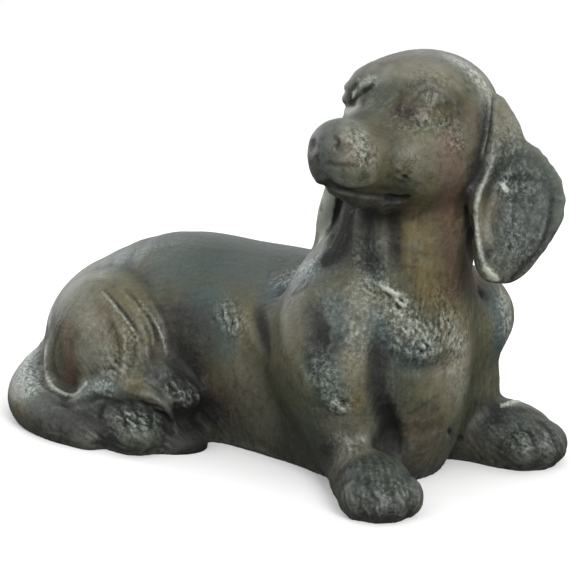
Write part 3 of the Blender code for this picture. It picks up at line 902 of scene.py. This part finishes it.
# Pale patina and specks, and painted highlights on lit edges and tops: the crown, the shoulder, the far
# ear's edge, glints on the far eye, and crisp lit lines on the chest, ear rim, tail and far paw.
patches["pale"] = [
    (0.4, 8, [(361, 134), (364, 148), (362, 162)]),
    # Painted highlight on the crown's top.
    (1.0, 13, [(456, 60), (473, 71), (486, 88)]),
    (0.2, 12, [(420, 52), (450, 55)]),
    (0.7, 18, [(398, 316), (412, 334), (430, 346)]),
    (0.5, 18, [(452, 360), (462, 385)]),
    (0.3, 26, [(90, 330), (110, 350)]),
    (0.6, 14, [(446, 322), (462, 352)]),
    (0.45, 14, [(226, 308), (236, 326)]),
    (0.4, 11, [(122, 418), (136, 424), (152, 418)]),
    (0.35, 11, [(170, 386), (190, 398)]),
    # Painted highlight on the shoulder's top.
    (0.7, 13, [(284, 280), (298, 270), (316, 262)]),
    (0.5, 14, [(361, 285), (359, 320), (357, 350)]),
    # Painted highlights: the far ear's lit edge, glints on the far eye and one below it.
    (2.4, 5, [(332, 196), (330, 210), (326, 226), (320, 240)]),
    (1.2, 9, [(326, 196), (323, 215), (319, 232)]),
    (1.5, 3.5, [(358, 80)]),
    (1.8, 3.5, [(376, 83)]),
    (1.2, 5, [(373, 78), (362, 84)]),
    (2.0, 3.5, [(354, 92), (350, 101)]),
    (0.8, 5, [(346, 109), (354, 109)]),
    (0.9, 7, [(330, 398), (338, 404), (346, 408)]),
    (0.35, 14, [(318, 370), (330, 388)]),
    (0.15, 22, [(372, 492), (402, 492)]),
    (0.2, 14, [(508, 436), (530, 444), (550, 440)]),
    (0.45, 4, earRim + [(498, 279)]),
    # Painted highlight on the lower end of the ear's rim.
    (1.7, 4, [(485, 269), (490, 275), (495, 279)]),
    (0.4, 3.5, [(488, 108), (486, 132), (481, 158)]),
    (1.8, 4.5, [(504, 184), (507, 191)]),
    (0.2, 12, [(354, 107), (372, 103), (392, 106)]),
    # Painted highlight along the chest's tuft line.
    (1.6, 4.5, [(381, 285), (390, 291), (405, 303)]),
    (0.7, 9, [(503, 296), (508, 330), (505, 350)]),
    # Painted highlight on the tail's lip.
    (1.1, 4, [(50, 320), (46, 345), (46, 370), (56, 389), (74, 395), (86, 384)]),
    (0.7, 5, [(53, 302), (49, 322)]),
    (0.9, 14, [(30, 354), (26, 372), (30, 390)]),
    # Painted highlight along the far paw's rim.
    (1.4, 5, [(503, 405), (520, 401), (541, 405), (552, 418)]),
    (0.7, 8, [(87, 390), (97, 384), (109, 388)]),
    (0.6, 9, [(338, 438), (352, 446)]),
    (0.7, 4, [(103, 293), (129, 323), (138, 340)]),
    (0.7, 4, [(140, 302), (158, 326), (166, 352)]),
    (0.25, 12, [(100, 275), (140, 252), (180, 240)]),
]

brushwork = {
    "edge": 0.6,  # below 1, a patch keeps its strength further out
    "blur": 2,
}

# What the shape does to the patina: how much the marks, the forms and the masses count, and what is added.
wear = {
    "raised": (3.5, 0.5, 0, -0.15),
    "hollow": (-1.5, -0.9, -0.25, 0),
    "crest": (0, 0.8, 0.2, 0),
}
wearRounds = (3, 14, 40)  # of smoothing, to tell marks, forms and masses apart

# Darker towards the ground: a dark line along it, and painted shade on the undersides.
darkBelow = {
    "foot": 9,  # height of the dark line along the ground
    "under": 75,  # height up to which the undersides get painted shade
    "overhang": 0.6,
}


def paint(mesh):
    cast = Cast(mesh)
    cast.plant()
    layers = {}
    for name, group in patches.items():
        layer = np.zeros(len(cast.points))
        for strength, width, path in group:
            line = cast.line(path)
            if len(line):
                near, close, _ = cast.reach(line, width)
                layer[near] = np.maximum(layer[near], strength * close ** brushwork["edge"])
        layers[name] = cast.blurred(layer, brushwork["blur"])
    stages = [cast.points]
    for rounds in wearRounds:
        stages.append(cast.blurred(stages[-1], rounds))
    heights = [((rough - smooth) * cast.normals).sum(1) for rough, smooth in zip(stages, stages[1:])]
    for name, (mark, form, mass, added) in wear.items():
        layers[name] = np.clip(heights[0] * mark + heights[1] * form + heights[2] * mass + added, 0, 1)
    height, facing = cast.points[:, 2], cast.normals[:, 2]
    layers["facing"] = np.clip(facing, 0, 1)
    layers["foot"] = np.clip(1 - height / darkBelow["foot"], 0, 1)
    # Painted shade on what faces down, low on the cast.
    layers["under"] = np.clip(1 - height / darkBelow["under"], 0, 1) * np.clip(darkBelow["overhang"] - facing, 0, 1)
    for name, layer in layers.items():
        mesh.attributes.new(name, "FLOAT", "POINT").data.foreach_set("value", layer.astype(np.float32))
    print("painted", {name: round(float(layer.mean()), 3) for name, layer in layers.items()})


class Wire:  # a socket that sums and products can be written with
    def __init__(self, tree, socket=None):
        self.tree, self.socket = tree, socket

    def node(self, kind, settings=None, values=None, out=0):
        made = self.tree.nodes.new("ShaderNode" + kind)
        for name, value in (settings or {}).items():
            setattr(made, name, value)
        for name, value in (values or {}).items():
            if isinstance(value, Wire):
                self.tree.links.new(value.socket, made.inputs[name])
            else:
                made.inputs[name].default_value = value
        return Wire(self.tree, made.outputs[out])

    def maths(self, operation, first, second):
        return self.node("Math", {"operation": operation}, {0: first, 1: second})

    def __add__(self, other):
        return self.maths("ADD", self, other)

    __radd__ = __add__

    def __mul__(self, other):
        return self.maths("MULTIPLY", self, other)

    __rmul__ = __mul__

    def __sub__(self, other):
        return self.maths("SUBTRACT", self, other)

    def __rsub__(self, other):
        return self.maths("SUBTRACT", other, self)

    def __pow__(self, other):
        return self.maths("POWER", self, other)

    def clamped(self):
        return self.node("Clamp", None, {0: self})

    def between(self, low, high):  # 0 below low, 1 above high
        settings = {"interpolation_type": "SMOOTHSTEP"}
        return self.node("MapRange", settings, {0: self, 1: low, 2: high, 3: 0.0, 4: 1.0})

    def layer(self, name):
        return self.node("Attribute", {"attribute_name": name}, out=2)

    def noise(self, place, scale, detail, roughness, distortion):
        values = {"Vector": place, "Scale": scale, "Detail": detail}
        return self.node("TexNoise", None, values | {"Roughness": roughness, "Distortion": distortion})

    def mixed(self, share, first, second):
        return self.node("Mix", {"data_type": "RGBA"}, {0: share, 6: first, 7: second}, 2)


def colour(*channels):  # from a screen's 0 to 255 to what the shader takes
    shares = [channel / 255 for channel in channels]
    return tuple(s / 12.92 if s < 0.04 else ((s + 0.055) / 1.055) ** 2.4 for s in shares) + (1,)


concrete = {
    "base": colour(82, 82, 65),
    "olive": colour(66, 73, 57),
    "ochre": colour(112, 101, 68),
    "russet": colour(98, 76, 60),
    "blue": colour(64, 84, 86),
    "teal": colour(26, 38, 35),
    "night": colour(36, 34, 36),
    "deep": colour(18, 19, 17),
    # The grey of the painted highlights.
    "highlight": colour(128, 127, 116),
    # The white of the pale patina and of its painted highlights.
    "pale": colour(184, 190, 178),
    "roughness": 0.18,  # where it is smoothest
    "sheen": 0.4,
    "relief": 0.8,  # how strongly the grain shows
    "depth": 0.0007,  # of the grain, in metres
}

# Scale, detail, roughness and distortion of each noise.
noises = {
    "broad": (16, 4, 0.6, 0),
    "patch": (48, 4, 0.65, 0.4),
    "mottle": (150, 4, 0.7, 0),
    "grit": (400, 3, 0.75, 0),
}

# Between which values of its noise each layer comes in.
breaks = {
    "olive": (0.35, 0.65),
    "ochre": (0.2, 0.55),
    "patch": (0.15, 0.5),
    "mottle": (0.2, 0.5),
    "stain": (0.3, 0.5),
    "cluster": (0.3, 0.6),
    "pits": (0.4, 0.48),
    "specks": (0.52, 0.6),
    "brushed": (0.3, 0.55),
}

amounts = {
    "cover": 0.9,  # how far ochre, russet, teal and night hide what is below them
    "ochre all over": 0.12,
    "teal on top": 0.45,
    "stain in patches": 0.2,
    "stain in mottles": 0.3,
    "dark": 0.9,
    # How strong the painted shade on the undersides is.
    "under": 0.7,
    # How far the painted highlights lift the dark.
    "highlight against dark": 0.6,
    "pits in grain": 0.7,
    "pits all over": 0.08,
    "hollow": 0.8,
    "foot": 0.5,
    "specks in pale": 0.5,
    "specks in grain": 0.25,
    "specks all over": 0.03,
    "veil": 0.25,
    "brushed all over": 0.14,
    "brushed in pale": 0.9,
    "crest": 0.08,
    "light": 0.8,
    "rough in mottles": 0.25,
    "rough in grit": 0.2,
    "rough where darkest": 0.35,
    "relief in mottles": 0.8,
    "relief in grit": 0.6,
}


def patinatedConcrete():
    material = bpy.data.materials.new("patinated concrete")
    material.use_nodes = True
    tree = material.node_tree
    shader = tree.nodes["Principled BSDF"]
    wire = Wire(tree)
    place = wire.node("TexCoord", out=3)
    broad, patch, mottle, grit = [wire.noise(place, *noise) for noise in noises.values()]
    names = list(patches) + ["raised", "hollow", "crest", "facing", "foot", "under"]
    layers = {name: wire.layer(name) for name in names}
    cover = amounts["cover"]

    tint = wire.mixed(broad.between(*breaks["olive"]), concrete["base"], concrete["olive"])
    warm = (layers["ochre"] + amounts["ochre all over"]) * patch.between(*breaks["ochre"])
    tint = wire.mixed(warm.clamped() * cover, tint, concrete["ochre"])
    # Russet, the painted highlights and blue, each where its patches lie.
    for name, share in (("russet", cover), ("highlight", 1), ("blue", 1)):
        tint = wire.mixed(layers[name] * patch.between(*breaks["patch"]) * share, tint, concrete[name])
    cold = (layers["teal"] + layers["facing"] ** 2 * amounts["teal on top"]).clamped()
    tint = wire.mixed(cold * mottle.between(*breaks["mottle"]) * cover, tint, concrete["teal"])

    # Towards night: random stains, the dark patches with their painted shade, and painted shade on the
    # undersides.
    stain = (1 - patch.between(*breaks["stain"])) * amounts["stain in patches"]
    stain = stain + (1 - mottle.between(*breaks["stain"])) * amounts["stain in mottles"]
    stainAndShade = layers["dark"] * amounts["dark"] + layers["under"] * amounts["under"] + stain
    stainAndShade = (stainAndShade * (1 - layers["highlight"] * amounts["highlight against dark"])).clamped()
    tint = wire.mixed(stainAndShade * cover, tint, concrete["night"])

    cluster = patch.between(*breaks["cluster"])
    pits = layers["grain"] * cluster * amounts["pits in grain"] + amounts["pits all over"]
    # Darkest: the hollows, the line along the ground, the black lines with painted shadows among them, and
    # pits.
    deep = layers["hollow"] * amounts["hollow"] + layers["foot"] * amounts["foot"]
    deep = deep + layers["black"] * mottle.between(*breaks["mottle"])
    deep = (deep + (1 - grit.between(*breaks["pits"])) * pits).clamped()
    tint = wire.mixed(deep, tint, concrete["deep"])

    # Lightest: pale specks, which also stand in for small glints on the tooled places, the pale patches
    # with their painted highlights, and dry-brushing on raised marks and crests.
    dusted = layers["grain"] * cluster * amounts["specks in grain"]
    specks = layers["pale"] * amounts["specks in pale"] + dusted + amounts["specks all over"]
    specks = grit.between(*breaks["specks"]) * specks
    brushed = layers["raised"] * (amounts["brushed all over"] + layers["pale"] * amounts["brushed in pale"])
    brushed = (brushed + layers["crest"] * amounts["crest"]) * mottle.between(*breaks["brushed"])
    light = ((specks + layers["pale"] ** 3 * amounts["veil"] + brushed) * (1 - deep)).clamped()
    tint = wire.mixed(light * amounts["light"], tint, concrete["pale"])
    tree.links.new(tint.socket, shader.inputs["Base Color"])

    rough = mottle * amounts["rough in mottles"] + grit * amounts["rough in grit"]
    rough = rough + concrete["roughness"] + deep * amounts["rough where darkest"]
    tree.links.new(rough.clamped().socket, shader.inputs["Roughness"])
    shader.inputs["Specular IOR Level"].default_value = concrete["sheen"]

    relief = mottle * amounts["relief in mottles"] + grit * amounts["relief in grit"]
    values = {"Strength": concrete["relief"], "Distance": concrete["depth"], "Height": relief}
    bump = wire.node("Bump", None, values)
    tree.links.new(bump.socket, shader.inputs["Normal"])
    return material


ground = {
    "radius": 24,
    "sides": 96,
    "white": (0.98, 0.98, 0.98, 1),
    "glow": 0.05,  # as white as the photograph's background
    "roughness": 0.9,
}


def addFloor():
    mesh = bpy.data.meshes.new("floor")
    work = bmesh.new()
    bmesh.ops.create_circle(work, cap_ends=True, segments=ground["sides"], radius=ground["radius"])
    work.to_mesh(mesh)
    work.free()
    floor = bpy.data.objects.new("floor", mesh)
    bpy.context.scene.collection.objects.link(floor)
    material = bpy.data.materials.new("floor")
    material.use_nodes = True
    shader = material.node_tree.nodes["Principled BSDF"]
    shader.inputs["Base Color"].default_value = ground["white"]
    shader.inputs["Emission Color"].default_value = ground["white"]
    shader.inputs["Emission Strength"].default_value = ground["glow"]
    shader.inputs["Roughness"].default_value = ground["roughness"]
    mesh.materials.append(material)
    floor.visible_diffuse = floor.visible_glossy = False  # no glare from below


studioLight = {
    "sky": 0.97,
    "below": 0.12,  # lights the cast's underside
    "horizon": (-0.12, 0.2),
    "aim": (0, 0, 0.12),
    "key": ((1.45, -0.9, 0.95), 0.7, 22),  # place, size and power
    "rim": ((-1.4, 0.2, 0.5), 1.2, 6),
}


def addLight(name):
    place, size, power = studioLight[name]
    lamp = bpy.data.lights.new(name, "AREA")
    lamp.shape, lamp.size, lamp.energy = "DISK", size, power
    holder = bpy.data.objects.new(name, lamp)
    holder.location = place
    away = Vector(place) - Vector(studioLight["aim"])
    holder.rotation_euler = away.to_track_quat("Z", "Y").to_euler()
    bpy.context.scene.collection.objects.link(holder)


def studio():
    world = bpy.data.worlds.new("studio")
    world.use_nodes = True
    wire = Wire(world.node_tree)
    height = wire.node("SeparateXYZ", None, {0: wire.node("TexCoord", out=0)}, 2)
    rise = studioLight["sky"] - studioLight["below"]
    strength = height.between(*studioLight["horizon"]) * rise + studioLight["below"]
    background = world.node_tree.nodes["Background"]
    world.node_tree.links.new(strength.socket, background.inputs["Strength"])
    background.inputs["Color"].default_value = (1, 1, 1, 1)
    bpy.context.scene.world = world
    addLight("key")
    addLight("rim")


addCamera()
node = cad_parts["dachshund"]
cast = castSkin(node)
print("cast skin", len(cast.points), "points")
mesh = carved(cast)
print("carved", len(readTriangles(mesh)), "triangles")
paint(mesh)
mesh.materials.clear()
mesh.materials.append(patinatedConcrete())
mesh.shade_smooth()
piece = bpy.data.objects.new("dachshund_cast", mesh)
bpy.context.scene.collection.objects.link(piece)
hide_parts("dachshund")
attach(piece, "root")
addFloor()
studio()
bpy.context.scene.view_settings.view_transform = "Standard"
